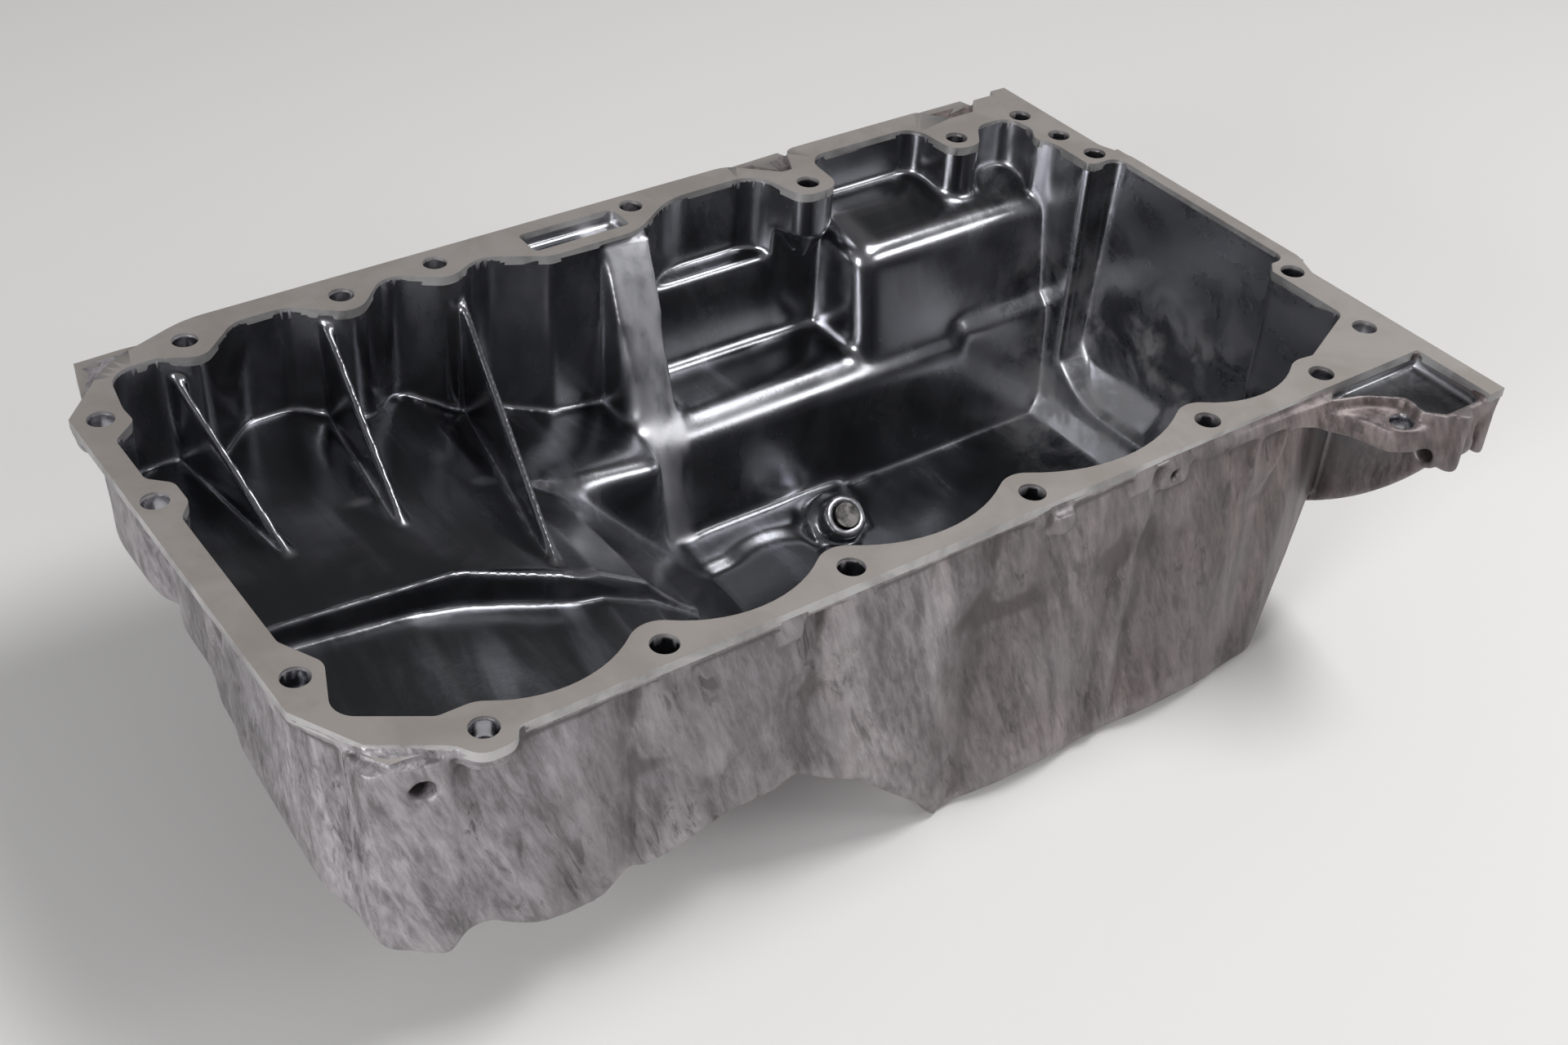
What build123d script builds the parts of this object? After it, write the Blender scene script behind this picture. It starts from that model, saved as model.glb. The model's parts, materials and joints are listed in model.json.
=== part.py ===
from build123d import *
import math
import os

# ---------------------------------------------------------------- datum
# Plan positions are measured from the front left bolt hole and heights from
# the machined gasket face.  The resting face of the sump is z = 0.
pan_depth = 131.0
left_extent = -41.5
right_extent = 383.2
front_extent = -39.6
back_extent = 233.0
gasket = Plane(origin=(-(left_extent + right_extent) / 2, -(front_extent + back_extent) / 2, pan_depth))

# ---------------------------------------------------------------- walls
wall = 5.0
draft = 2.0
lip_depth = 3.6
flange_thick = 5.0
sump_floor = pan_depth - 7.0

# ---------------------------------------------------------------- bolts
bolt_r = 4.5
boss_r = 8.5
boss_drop = 9.0
column_r = 10.4
row_y = 3.0
row_x = [59.3, 125.4, 196.9, 274.3, 329.5]
corner_bolt = (0.0, 0.0)
bay_y = [2.2, 2.1, 2.4, 2.1, 4.4]
left_bolts = [(-33.5, 44.5), (-34.9, 138.9), (-32.8, 187.9)]
back_bolts = [(7.5, 217.8), (64.7, 217.9), (102.8, 221.1), (185.8, 221.7), (331.0, 204.0)]
blind_bolt = (255.7, 203.5)
right_bolts = [(366.2, 16.0), (372.7, 57.2), (371.8, 165.4), (369.6, 184.8), (367.2, 206.4)]
blind_depth = 24.0
depth_step = 0.8

# Flange rim: x, y and corner radius, anticlockwise from the front row.
rim = [
    (378.2, -4.4, 0.0), (378.2, 52.0, 8.0), (383.2, 64.0, 8.0), (383.2, 156.0, 8.0), (378.2, 171.0, 8.0),
    (378.2, 227.0, 6.0), (359.0, 227.0, 0.0), (352.0, 218.9, 0.0), (339.5, 218.9, 0.0), (330.5, 230.0, 4.0),
    (264.0, 230.0, 6.0), (256.5, 215.2, 0.0), (252.0, 215.2, 0.0), (234.5, 230.0, 12.0), (12.0, 230.0, 40.0),
    (-20.0, 217.5, 40.0), (-41.5, 192.5, 0.0), (-41.5, 33.0, 0.0), (-30.0, 10.8, 0.0), (-13.0, 0.0, 0.0),
    (-9.6, -2.6, 3.0), (-5.6, -9.4, 7.0), (4.6, -9.4, 7.0), (8.4, -4.4, 2.0),
]

# Opening: x, y and corner radius, anticlockwise from the last front bolt round to the first.
opening = [
    (335.5, 12.6, 3.0), (366.0, 26.3, 5.0), (366.0, 61.0, 0.0), (370.0, 65.2, 0.0), (377.6, 65.6, 4.5),
    (377.6, 158.3, 5.5), (363.2, 158.3, 4.0), (363.2, 180.0, 12.0), (358.9, 187.5, 4.0), (363.6, 194.5, 7.0),
    (362.0, 208.0, 8.0), (345.5, 208.0, 9.0), (336.0, 195.2, 6.5), (323.0, 195.2, 7.5), (321.4, 220.2, 9.0),
    (267.2, 220.2, 9.0), (265.3, 194.7, 8.0), (247.2, 194.7, 7.0), (241.5, 219.2, 13.0), (200.5, 219.2, 30.0),
    (178.5, 204.4, 22.0), (141.0, 204.4, 6.0), (118.0, 217.0, 11.0), (102.8, 208.9, 9.0), (82.8, 222.7, 9.0),
    (64.9, 204.3, 9.0), (44.5, 220.2, 11.0), (25.5, 220.2, 11.0), (9.0, 205.0, 7.0), (-5.0, 212.2, 8.0),
    (-21.5, 211.4, 10.0), (-24.8, 190.0, 15.0), (-24.3, 182.0, 4.0), (-33.2, 174.5, 4.0), (-33.2, 151.0, 4.0),
    (-26.4, 144.5, 5.0), (-26.4, 133.5, 5.0), (-31.5, 127.0, 4.0), (-31.5, 60.5, 5.0), (-24.2, 46.0, 6.0),
    (-32.4, 25.3, 8.0), (-8.5, 10.4, 5.0),
]


touching = 0.01


small_round = 7.0


def unit(a, b):
    dx = b[0] - a[0]
    dy = b[1] - a[1]
    length = math.hypot(dx, dy)
    return dx / length, dy / length


def rounded_run(points, closed):
    """Straight runs joined by round corners, or sharp ones where the radius is 0.

    Open runs start and end on their first and last points.
    """
    count = len(points)
    corners = range(count) if closed else range(1, count - 1)
    ends = []
    for i in corners:
        x, y, r = points[i]
        if not r:
            ends.append(((x, y), None, (x, y)))
            continue
        ux, uy = unit((x, y), points[i - 1])
        vx, vy = unit((x, y), points[(i + 1) % count])
        half = math.acos(ux * vx + uy * vy) / 2
        reach = r / math.tan(half)
        bulge = (r / math.sin(half) - r) / math.hypot(ux + vx, uy + vy)
        first = (x + ux * reach, y + uy * reach)
        last = (x + vx * reach, y + vy * reach)
        ends.append((first, (x + (ux + vx) * bulge, y + (uy + vy) * bulge), last))
    here = ends[-1][2] if closed else points[0][:2]
    for first, middle, last in ends:
        if math.dist(here, first) > touching:
            Line(here, first)
        else:
            first = here
        if middle:
            ThreePointArc(first, middle, last)
        here = last
    if not closed:
        Line(here, points[-1][:2])


def scallops(centres, reach, lows):
    """Arcs round each bolt joined by wide arcs that dip to the given lines between them."""
    touch = [[None, None] for _ in centres]
    dips = []
    for i, low in enumerate(lows):
        ax, ay = centres[i]
        bx, by = centres[i + 1]
        left, right = ax, bx
        for _ in range(50):
            x = (left + right) / 2
            r_left = ((x - ax) ** 2 + (low - ay) ** 2 - reach ** 2) / (2 * (reach - low + ay))
            r_right = ((x - bx) ** 2 + (low - by) ** 2 - reach ** 2) / (2 * (reach - low + by))
            if r_left < r_right:
                left = x
            else:
                right = x
        ux, uy = unit((ax, ay), (x, low + r_left))
        touch[i][1] = (ax + ux * reach, ay + uy * reach)
        ux, uy = unit((bx, by), (x, low + r_left))
        touch[i + 1][0] = (bx + ux * reach, by + uy * reach)
        dips.append((x, low))
    for i, (x, y) in enumerate(centres):
        top = (x, y + reach)
        start = touch[i][0] or top
        stop = touch[i][1] or top
        angle = (math.atan2(start[1] - y, start[0] - x) + math.atan2(stop[1] - y, stop[0] - x)) / 2
        ThreePointArc(start, (x + reach * math.cos(angle), y + reach * math.sin(angle)), stop)
        if i < len(dips):
            ThreePointArc(stop, dips[i], touch[i + 1][0])


def across(x):
    """Plane facing +X at a plan position; its own axes are +Y and +Z."""
    return Plane(origin=gasket.origin, x_dir=(0, 1, 0), z_dir=(1, 0, 0)).offset(x)


def along(y):
    """Plane facing -Y at a plan position; its own axes are +X and +Z."""
    return Plane(origin=gasket.origin, x_dir=(1, 0, 0), z_dir=(0, -1, 0)).offset(-y)


def face_outline(outline, gap=0.0):
    """Sketch of a closed outline of x, y and corner radius, drawn in by a gap."""
    with BuildSketch(mode=Mode.PRIVATE) as drawn:
        with BuildLine():
            rounded_run(outline, closed=True)
        make_face()
        if gap:
            offset(amount=-gap, kind=Kind.INTERSECTION)
    return drawn.sketch


def block(plane, outline, depth, gap=0.0, taper=0.0):
    """A solid carried back from a plane, drawn in on every side by a gap."""
    with BuildPart(mode=Mode.PRIVATE) as made:
        with BuildSketch(plane.offset(-gap)):
            add(face_outline(outline, gap))
        extrude(amount=2 * gap - depth, taper=taper)
    return made.part


def under(plane, line, depth, gap=0.0):
    """A mass under a floor line, lowered by a gap and carried straight back."""
    with BuildPart(mode=Mode.PRIVATE) as made:
        with BuildSketch(plane):
            with BuildLine():
                Polyline(*[(x, z - gap) for x, z in line], (line[-1][0], deep), (line[0][0], deep), close=True)
            make_face()
        extrude(amount=-depth)
    return made.part


def ruled(planes, lines):
    """A mass under a floor that changes evenly from the first line to the last."""
    with BuildPart(mode=Mode.PRIVATE) as made:
        for i in range(len(lines[0]) - 1):
            for plane, line in zip(planes, lines):
                with BuildSketch(plane):
                    with BuildLine():
                        Polyline(line[i], line[i + 1], (line[i + 1][0], deep), (line[i][0], deep), close=True)
                    make_face()
            loft(ruled=True)
    return made.part


# ---------------------------------------------------------------- floors
# Heights of the shallow end's floor and of its underside, from the left end to the sump.
deep = -(pan_depth + 10.0)
far_left = left_extent - 10.0
far_right = right_extent + 10.0
far_back = back_extent + 12.0
front_y = -12.0
baffle_y = 118.0
baffle_edge = [(far_left, 116.0), (-35.0, 113.8), (48.0, 106.0), (85.0, 97.0), (200.0, 97.0)]
shelf_y = 158.0
front_floor = [
    (far_left, -64.0), (30.0, -80.0), (60.0, -80.0), (95.0, -73.0), (115.0, -75.0), (137.0, -86.0),
    (166.0, -114.0), (176.0, -sump_floor),
]
near_floor = [
    (far_left, -47.0), (30.0, -47.0), (60.0, -52.0), (95.0, -62.0), (115.0, -74.0), (137.0, -92.0),
    (166.0, -119.0), (176.0, -sump_floor),
]
mid_floor = [
    (far_left, -42.0), (30.0, -42.0), (60.0, -45.0), (75.0, -48.0), (95.0, -54.0), (115.0, -67.0),
    (137.0, -89.5), (152.0, -106.0), (166.0, -119.0), (176.0, -sump_floor),
]
front_under = [
    (far_left, -76.0), (-26.0, -82.0), (-16.0, -86.0), (0.0, -82.0), (16.0, -90.0), (38.0, -92.0),
    (62.0, -88.0), (84.0, -80.0), (112.0, -81.0), (134.0, -92.0), (166.0, -121.0), (172.0, -pan_depth),
]
near_under = [
    (far_left, -51.0), (-26.0, -52.0), (-16.0, -52.0), (0.0, -52.0), (16.0, -52.0), (38.0, -52.5),
    (62.0, -57.0), (84.0, -63.0), (112.0, -77.0), (134.0, -94.0), (166.0, -125.0), (172.0, -pan_depth),
]


def behind(mass, gap=0.0):
    """The part of a mass that lies behind the baffle line, set back by a gap."""
    edge = [(x, y + gap) for x, y in baffle_edge]
    with BuildPart(mode=Mode.PRIVATE) as made:
        with BuildSketch(gasket):
            with BuildLine():
                Polyline(*edge, (edge[-1][0], far_back), (edge[0][0], far_back), close=True)
            make_face()
        extrude(amount=deep)
        add(mass, mode=Mode.INTERSECT)
    return made.part


front_mass = ruled([along(front_y), along(baffle_y)], [front_floor, near_floor])
front_void = ruled([along(front_y), along(baffle_y + wall)], [front_under, near_under])
mid_mass = behind(under(along(0.0), mid_floor, far_back))
mid_void = behind(under(along(0.0), mid_floor, far_back, wall), wall)

# ---------------------------------------------------------------- back masses
# Outlines across the pan: y, z and corner radius, from the back wall down to the foot.
shelf_line = [
    (far_left, -42.0, 0.0), (40.0, -42.0, 20.0), (88.0, -51.0, 10.0), (107.0, -60.0, 8.0), (125.0, -66.0, 10.0),
    (166.0, -72.0, 0.0), (166.0, deep, 0.0), (far_left, deep, 0.0),
]
pillar_line = [
    (far_back, -lip_depth, 0.0), (204.0, -lip_depth, 0.0), (199.0, -15.0, 6.0), (168.0, -98.0, 10.0),
    (165.0, deep, 0.0), (far_back, deep, 0.0),
]
bay_line = [
    (far_back, -30.5, 0.0), (210.0, -32.0, 2.5), (208.0, -70.0, 4.0), (180.0, -70.0, 10.0), (171.0, -78.0, 12.0),
    (165.5, deep, 0.0), (far_back, deep, 0.0),
]
right_line = [
    (far_back, -19.0, 0.0), (207.0, -20.5, 3.0), (182.0, -27.0, 9.0), (175.0, -76.0, 8.0), (165.5, deep, 0.0),
    (far_back, deep, 0.0),
]
end_line = [(far_back, -64.0, 0.0), (178.5, -65.0, 3.0), (171.0, -72.0, 5.0), (165.5, deep, 0.0), (far_back, deep, 0.0)]
pillar_x = (163.0, 183.0)
bay_x = (170.0, 330.0)
bay_under_x = (155.0, 330.0)
right_x = (267.0, 330.0)
end_x = 316.0
mass_round = 8.0


def side_mass(span, outline, gap=0.0, taper=0.0):
    """A mass that stands behind an outline between two plan positions."""
    return block(across(span[1]), outline, span[1] - span[0], gap, taper)


shelf_mass, shelf_void = [block(along(shelf_y), shelf_line, far_back - shelf_y, g) for g in (0.0, wall)]
pillar_mass = side_mass(pillar_x, pillar_line)
pillar_void = side_mass(pillar_x, pillar_line, wall)
bay_mass = side_mass(bay_x, bay_line)
bay_void = side_mass(bay_under_x, bay_line, wall)
right_void = side_mass((right_x[0], far_right), right_line, wall)
end_mass, end_void = [side_mass((end_x, far_right), end_line, g) for g in (0.0, wall)]
with BuildPart() as right_mass:
    add(side_mass((right_x[0], far_right), right_line))
    left_end = right_mass.faces().sort_by(Axis.X)[0]
    fillet(left_end.edges().sort_by(Axis.Y)[:-1].sort_by(Axis.Z)[1:], mass_round)

# The column of the bolt between the bays ends in a point under the rim.
column_low = -20.0
column_tip_low = -34.0
column_tip_r = 9.0
column_tip_slant = 30.0
column_void_at = (255.5, 199.0)
column_void = (25.0, 18.0)
with BuildPart(mode=Mode.PRIVATE) as tip:
    with BuildSketch(gasket.offset(column_low)):
        with Locations(blind_bolt):
            Circle(column_tip_r)
    extrude(amount=column_tip_low - column_low, taper=column_tip_slant)
column_tip = tip.part

# ---------------------------------------------------------------- ribs and baffle
rib_thick = 3.0
rib_root = 14.0
ribs = [
    ((0.0, 209.0, -7.0), (7.5, 143.0, -42.0)), ((55.8, 214.0, -4.0), (46.5, 141.0, -42.5)),
    ((108.5, 211.0, -13.0), (83.0, 103.0, -50.0)),
]
baffle_plan = [
    (-45.0, 116.0, 0.0), (-35.0, 115.3, 4.0), (48.0, 107.5, 20.0), (85.0, 98.5, 20.0), (137.0, 98.5, 0.0),
    (137.0, 95.5, 0.0), (85.0, 95.5, 20.0), (48.0, 104.5, 20.0), (-35.0, 112.3, 4.0), (-45.0, 113.0, 0.0),
]
baffle_top = [
    (far_left, -39.0, 0.0), (48.0, -39.0, 30.0), (85.0, -50.0, 20.0), (135.0, -86.0, 5.0), (150.0, -100.0, 0.0),
    (150.0, deep, 0.0), (far_left, deep, 0.0),
]


def rib(top, toe):
    """A thin upright plate whose edge slopes from a wall down to the floor."""
    ux, uy = unit(top, toe)
    run = math.dist(top[:2], toe[:2])
    start = Plane(
        origin=gasket.from_local_coords(Vector(top[0], top[1], 0.0)), x_dir=(ux, uy, 0), z_dir=(uy, -ux, 0)
    )
    low = toe[2] - rib_root
    with BuildPart(mode=Mode.PRIVATE) as made:
        with BuildSketch(start):
            with BuildLine():
                Polyline((-rib_root, low), (-rib_root, top[2]), (0, top[2]), (run, toe[2]), (run, low), close=True)
            make_face()
        extrude(amount=rib_thick / 2, both=True)
    return made.part


rib_plates = [rib(top, toe) for top, toe in ribs]
with BuildPart() as baffle:
    with BuildSketch(gasket):
        add(face_outline(baffle_plan))
    extrude(amount=-pan_depth)
    add(block(along(front_y), baffle_top, far_back), mode=Mode.INTERSECT)

# ---------------------------------------------------------------- sump details
land_height = 3.5
land_plan = [
    (150.0, 190.0, 0.0), (150.0, 150.0, 0.0), (176.0, 148.0, 0.0), (222.0, 150.0, 6.0), (228.0, 140.0, 6.0),
    (246.0, 142.0, 8.0), (252.0, 156.0, 6.0), (262.0, 190.0, 0.0),
]
recess_at = (205.0, 122.0)
recess_r = 32.0
recess_height = 12.0

row_bolts = [corner_bolt] + [(x, row_y) for x in row_x]
ends = [(row_x[-1], row_y + column_r, 0.0), (0.0, column_r, 0.0)]
outer_corners = [(x, y, r if r >= small_round else 0.0) for x, y, r in opening]
with BuildSketch() as opening_face:
    with BuildLine():
        scallops(row_bolts, column_r, bay_y)
        rounded_run(ends[:1] + opening + ends[1:], closed=False)
    make_face()
with BuildSketch() as body_face:
    with BuildLine():
        scallops(row_bolts, column_r, bay_y)
        rounded_run(ends[:1] + outer_corners + ends[1:], closed=False)
    make_face()
    offset(amount=wall, kind=Kind.INTERSECTION)

# ---------------------------------------------------------------- drain
plug_tilt = 40.0
plug_rise = 11.0
plug_end = (236.0, 138.5, plug_rise - sump_floor)
plug_r = 5.2
plug_gap = 0.1
boss_len = 11.0
drain_boss_r = 9.5
pocket_r = 10.0
pocket_wall = 3.5
washer_r = 8.2
washer_thick = 1.5
head_r = 7.6
head_thick = 4.0
socket_r = 4.0
plug_proud = 0.8
plug_face = Plane(
    origin=gasket.from_local_coords(Vector(*plug_end)),
    x_dir=(1, 0, 0),
    z_dir=(0, -math.sin(math.radians(plug_tilt)), math.cos(math.radians(plug_tilt))),
)
seat = plug_face.offset(-boss_len)


def round_bar(plane, radius, depth, taper=0.0):
    """A round bar carried back from a plane."""
    with BuildPart(mode=Mode.PRIVATE) as made:
        with BuildSketch(plane):
            Circle(radius)
        extrude(amount=-depth, taper=taper)
    return made.part


land = block(gasket.offset(land_height - sump_floor), land_plan, pan_depth)
drain_boss = round_bar(plug_face, drain_boss_r, 3 * boss_len)
drain_base = round_bar(seat.offset(pocket_wall), pocket_r + pocket_wall, 3 * boss_len)

# ---------------------------------------------------------------- outer skin
# The front wall stands forward in a bulge under every bolt, with a groove to the left of each.
skin = [
    (-20.0, 88.0, 3.5), (-38.5, 88.0, 3.5), (-38.5, 30.0, 5.0), (-33.5, 19.0, 5.0), (-34.0, 4.0, 4.5),
    (-13.0, -2.6, 6.0), (-6.5, 2.5, 4.0), (6.0, -3.0, 6.0), (30.0, -3.2, 24.0), (45.0, 7.0, 3.0), (52.0, -3.6, 6.0),
    (82.0, -3.6, 40.0), (110.0, 7.5, 3.0), (117.0, -3.6, 6.0), (150.0, -3.6, 40.0), (178.5, 8.0, 3.0),
    (186.0, -3.6, 8.0), (230.0, -3.6, 14.0), (240.0, 6.0, 4.0), (253.0, 6.0, 4.0), (263.0, -3.6, 12.0),
    (307.0, -3.6, 12.0), (316.0, 8.0, 4.0), (322.0, 3.0, 4.0), (330.0, 4.0, 6.0), (341.0, 12.0, 4.0),
    (330.0, 40.0, 4.0), (-20.0, 40.0, 4.0),
]
with BuildPart() as skin_wall:
    with BuildSketch(gasket.offset(-flange_thick)):
        add(face_outline(skin))
    extrude(amount=flange_thick - pan_depth)

# ---------------------------------------------------------------- lower corners
sump_round = 12.0
front_foot = -2.6
sump_start = 174.0
half_turn = 1.0 - math.sqrt(0.5)


def edge_round(plane, corner, radius, side, depth):
    """What lies outside a quarter round in a low corner, carried back from a plane."""
    x, z = corner
    with BuildPart(mode=Mode.PRIVATE) as made:
        with BuildSketch(plane):
            with BuildLine():
                Polyline(
                    (x, z + radius), (x - side * radius, z + radius), (x - side * radius, z - radius),
                    (x + side * radius, z - radius), (x + side * radius, z),
                )
                ThreePointArc(
                    (x + side * radius, z), (x + side * radius * half_turn, z + radius * half_turn), (x, z + radius)
                )
            make_face()
        extrude(amount=-depth)
    return made.part


front_edge = edge_round(across(far_right), (front_foot, -pan_depth), sump_round, 1, far_right - sump_start)
left_foot = (-37.0, -51.5)
left_round = 14.0
left_edge = edge_round(along(baffle_y - 12.0), left_foot, left_round, 1, far_back - baffle_y)

# The gearbox end: a recessed panel, a sloping foot and a slanting front corner.
panel_floor = 380.0
panel_depth = 16.0
panel_slope = 35.0
panel_line = [
    (5.0, -95.0, 12.0), (158.0, -97.0, 28.0), (158.0, -36.0, 12.0), (205.0, -36.0, 12.0), (205.0, deep, 12.0),
    (5.0, deep, 12.0),
]
end_foot = [
    (377.6, -lip_depth, 0.0), (374.5, -92.0, 8.0), (359.0, -122.0, 8.0), (350.0, deep, 0.0), (400.0, deep, 0.0),
    (400.0, -lip_depth, 0.0),
]
corner_angle = math.radians(13.65)
corner_run = (60.0, 190.0)
corner_line = [(346.8, -75.0, 0.0), (320.8, -sump_floor, 0.0), (318.0, deep, 0.0), (440.0, deep, 0.0), (440.0, -75.0, 0.0)]
corner_plane = Plane(
    origin=gasket.origin, x_dir=(math.cos(corner_angle), -math.sin(corner_angle), 0),
    z_dir=(-math.sin(corner_angle), -math.cos(corner_angle), 0),
).offset(-corner_run[0])
panel_mass = block(across(panel_floor), panel_line, panel_depth, 0.0, panel_slope)
foot_mass, foot_void = [block(along(front_y), end_foot, far_back, g) for g in (0.0, wall)]
corner_mass, corner_void = [block(corner_plane, corner_line, corner_run[1] - corner_run[0], g) for g in (0.0, wall)]

with BuildPart() as hollow:
    with BuildSketch(gasket):
        add(opening_face.sketch)
    extrude(amount=-sump_floor)
    with BuildSketch(gasket.offset(column_low)):
        with Locations(column_void_at):
            Rectangle(*column_void)
    extrude(amount=-column_low - sump_floor)
    add(column_tip, mode=Mode.SUBTRACT)
    for mass in (
        front_mass, mid_mass, shelf_mass, pillar_mass, bay_mass, right_mass.part, end_mass, land, panel_mass, foot_mass,
        corner_mass,
    ):
        add(mass, mode=Mode.SUBTRACT)
    with BuildSketch(gasket.offset(recess_height - sump_floor)):
        with Locations(recess_at):
            Circle(recess_r)
    extrude(amount=-recess_height, taper=draft)
    add(drain_base, mode=Mode.SUBTRACT)
    add(drain_boss, mode=Mode.SUBTRACT)
    add(baffle.part, mode=Mode.SUBTRACT)
    for plate in rib_plates:
        add(plate, mode=Mode.SUBTRACT)

# Below a wavy line the outer front wall steps back.
step_y = -1.0
step_line = [
    (56.0, -88.0), (64.0, -68.0), (76.0, -54.0), (100.0, -47.0), (113.0, -51.0), (138.0, -60.0), (162.0, -76.0),
    (174.0, -86.0),
]
step_cut = under(along(-far_back), step_line, far_back + step_y)

# ---------------------------------------------------------------- gearbox face
plate_x = (371.0, 378.5)
plate_centre = (105.0, 40.0)
plate_r = 149.5
plate_front = -37.0
plate_back = 230.0

with BuildPart() as gearbox_plate:
    with BuildSketch(across(plate_x[1])):
        with Locations(plate_centre):
            Circle(plate_r)
        with Locations(((plate_front + plate_back) / 2, -pan_depth / 2)):
            Rectangle(plate_back - plate_front, pan_depth, mode=Mode.INTERSECT)
    extrude(amount=plate_x[0] - plate_x[1])

# ---------------------------------------------------------------- front right bracket
bracket_top = -4.0
bracket_low = -18.0
bracket_floor = -7.5
bracket = [
    (258.0, 4.0, 0.0), (258.0, -4.6, 0.0), (305.0, -6.2, 10.0), (324.0, -7.2, 10.0), (338.5, -12.0, 12.0),
    (347.8, -19.5, 3.5), (345.6, -28.0, 3.0), (352.0, -35.6, 6.0), (372.0, -35.8, 3.0), (376.0, 4.0, 0.0),
]
pocket = [
    (300.0, -3.9, 0.0), (324.0, -5.2, 10.0), (337.4, -10.0, 12.0), (350.3, -19.4, 4.0), (348.2, -27.8, 3.0),
    (353.4, -33.4, 5.0), (370.5, -33.6, 3.0), (374.0, -3.6, 0.0),
]
ledge_hole = (342.5, -24.5)
ledge_hole_r = 4.0
ledge_relief = 1.0
ledge_top = -8.0
ledge = [
    (320.0, 2.0, 0.0), (322.0, -9.0, 4.0), (331.5, -15.0, 10.0), (334.5, -27.5, 7.0), (343.0, -32.5, 7.0),
    (354.0, -33.5, 2.0), (356.0, 2.0, 0.0),
]
stud_at = (-31.0, -21.3)
stud_r = 3.4
stud_boss_r = 6.0
stud_x = 350.0
stud_depth = 15.0
flute_r = 3.6
flute_at = (359.5, front_extent + flute_r)
flute_low = -28.0
end_wall = [(374.5, -2.0, 0.0), (374.5, plate_front, 2.0), (plate_x[1], plate_front, 0.0), (plate_x[1], -2.0, 0.5)]
bracket_under = [(240.0, -7.0), (305.0, -10.0), (332.0, bracket_low), (400.0, bracket_low)]

bracket_slope = under(along(-far_back), bracket_under, 2 * far_back)
with BuildPart() as bracket_body:
    with BuildSketch(gasket.offset(bracket_top)):
        add(face_outline(bracket))
    extrude(amount=bracket_low - bracket_top)
    with BuildSketch(gasket.offset(ledge_top)):
        add(face_outline(ledge))
    extrude(amount=bracket_low - ledge_top)
    add(bracket_slope, mode=Mode.SUBTRACT)
    with BuildSketch(gasket.offset(bracket_top)):
        with Locations(flute_at):
            Circle(flute_r)
    extrude(amount=flute_low - bracket_top)
    with BuildSketch(across(plate_x[0])):
        with Locations(stud_at):
            Circle(stud_boss_r)
    extrude(amount=stud_x - plate_x[0])
    with BuildSketch(gasket.offset(bracket_top)):
        add(face_outline(pocket))
    extrude(amount=bracket_floor - bracket_top, mode=Mode.SUBTRACT)
    with BuildSketch(gasket):
        add(face_outline(end_wall))
    extrude(amount=flute_low)

# ---------------------------------------------------------------- small lugs and pads
lug_top = -3.0
front_lug = [(-31.0, 16.0, 0.0), (-31.0, 11.5, 0.0), (-26.5, 3.6, 0.0), (-10.5, 1.6, 0.0), (-8.0, 12.0, 0.0)]
front_lug_low = -20.0
front_lug_hole = (-18.5, -14.5)
front_lug_hole_r = 3.6
back_lug = [(-34.0, 200.0, 0.0), (-31.0, 212.0, 0.0), (-27.5, 227.0, 0.0), (-11.0, 227.5, 0.0), (10.0, 226.0, 0.0), (0.0, 205.0, 0.0)]
back_lug_low = -12.0
web_top = -2.5
webs = [
    [(230.0, 216.0, 0.0), (236.0, 232.0, 0.0), (262.0, 233.0, 0.0), (268.0, 216.0, 0.0)],
    [(328.0, 217.0, 0.0), (330.5, 233.0, 0.0), (357.0, 233.0, 0.0), (361.0, 217.0, 0.0)],
]
pad_half = 4.5
pad_front = -4.9
pads_x = [99.5, 240.0]
pad_span = (-5.0, -13.0)
grey_lug = [(198.0, 6.0, 0.0), (200.0, -8.2, 1.5), (207.5, -8.2, 1.5), (209.5, 6.0, 0.0)]
grey_lug_low = -13.0
hole_lug = [(247.0, 8.0, 0.0), (250.0, -4.9, 1.5), (261.0, -4.9, 1.5), (266.0, 8.0, 0.0)]
hole_lug_low = -16.0
hole_lug_at = (255.0, -11.0)
hole_lug_r = 2.0
lug_hole_front = -6.0
lug_hole_depth = 14.0
web_rib = [(243.0, 8.0, 0.0), (243.0, -2.6, 1.8), (248.5, -2.6, 1.8), (248.5, 8.0, 0.0)]
web_rib_low = -124.0
channel_rails = [294.5, 308.0]
rail_width = 2.4
rail_front = -5.6
rail_span = (-8.0, -66.0)
side_lug = [(-30.0, 86.0, 0.0), (-40.5, 88.0, 0.0), (-40.5, 94.0, 0.0), (-30.0, 97.0, 0.0)]
side_lug_low = -22.0


def lug(outline, top, low):
    """An upright lug between two heights."""
    return block(gasket.offset(top), outline, top - low)


lugs = [
    lug(front_lug, lug_top, front_lug_low), lug(back_lug, lug_top, back_lug_low), lug(grey_lug, -flange_thick, grey_lug_low),
    lug(hole_lug, -flange_thick, hole_lug_low), lug(web_rib, -flange_thick, web_rib_low), lug(side_lug, -flange_thick, side_lug_low),
] + [lug(web, web_top, -flange_thick - 2.0) for web in webs]

# ---------------------------------------------------------------- slot in the back rim
slot_x = (137.8, 178.3)
slot_y = (210.0, 223.3)
slot_ledge = 6.5
slot_frame = 3.0
slot_low = 12.0
slot_deep_x = (138.3, 171.0)
slot_deep_y = (210.5, 217.0)
slot_radius = 2.0


def plan_box(xs, ys, radius=0.0, grow=0.0):
    """Corners of an upright box in plan."""
    return [
        (xs[0] - grow, ys[0] - grow, radius), (xs[1] + grow, ys[0] - grow, radius),
        (xs[1] + grow, ys[1] + grow, radius), (xs[0] - grow, ys[1] + grow, radius),
    ]


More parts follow.
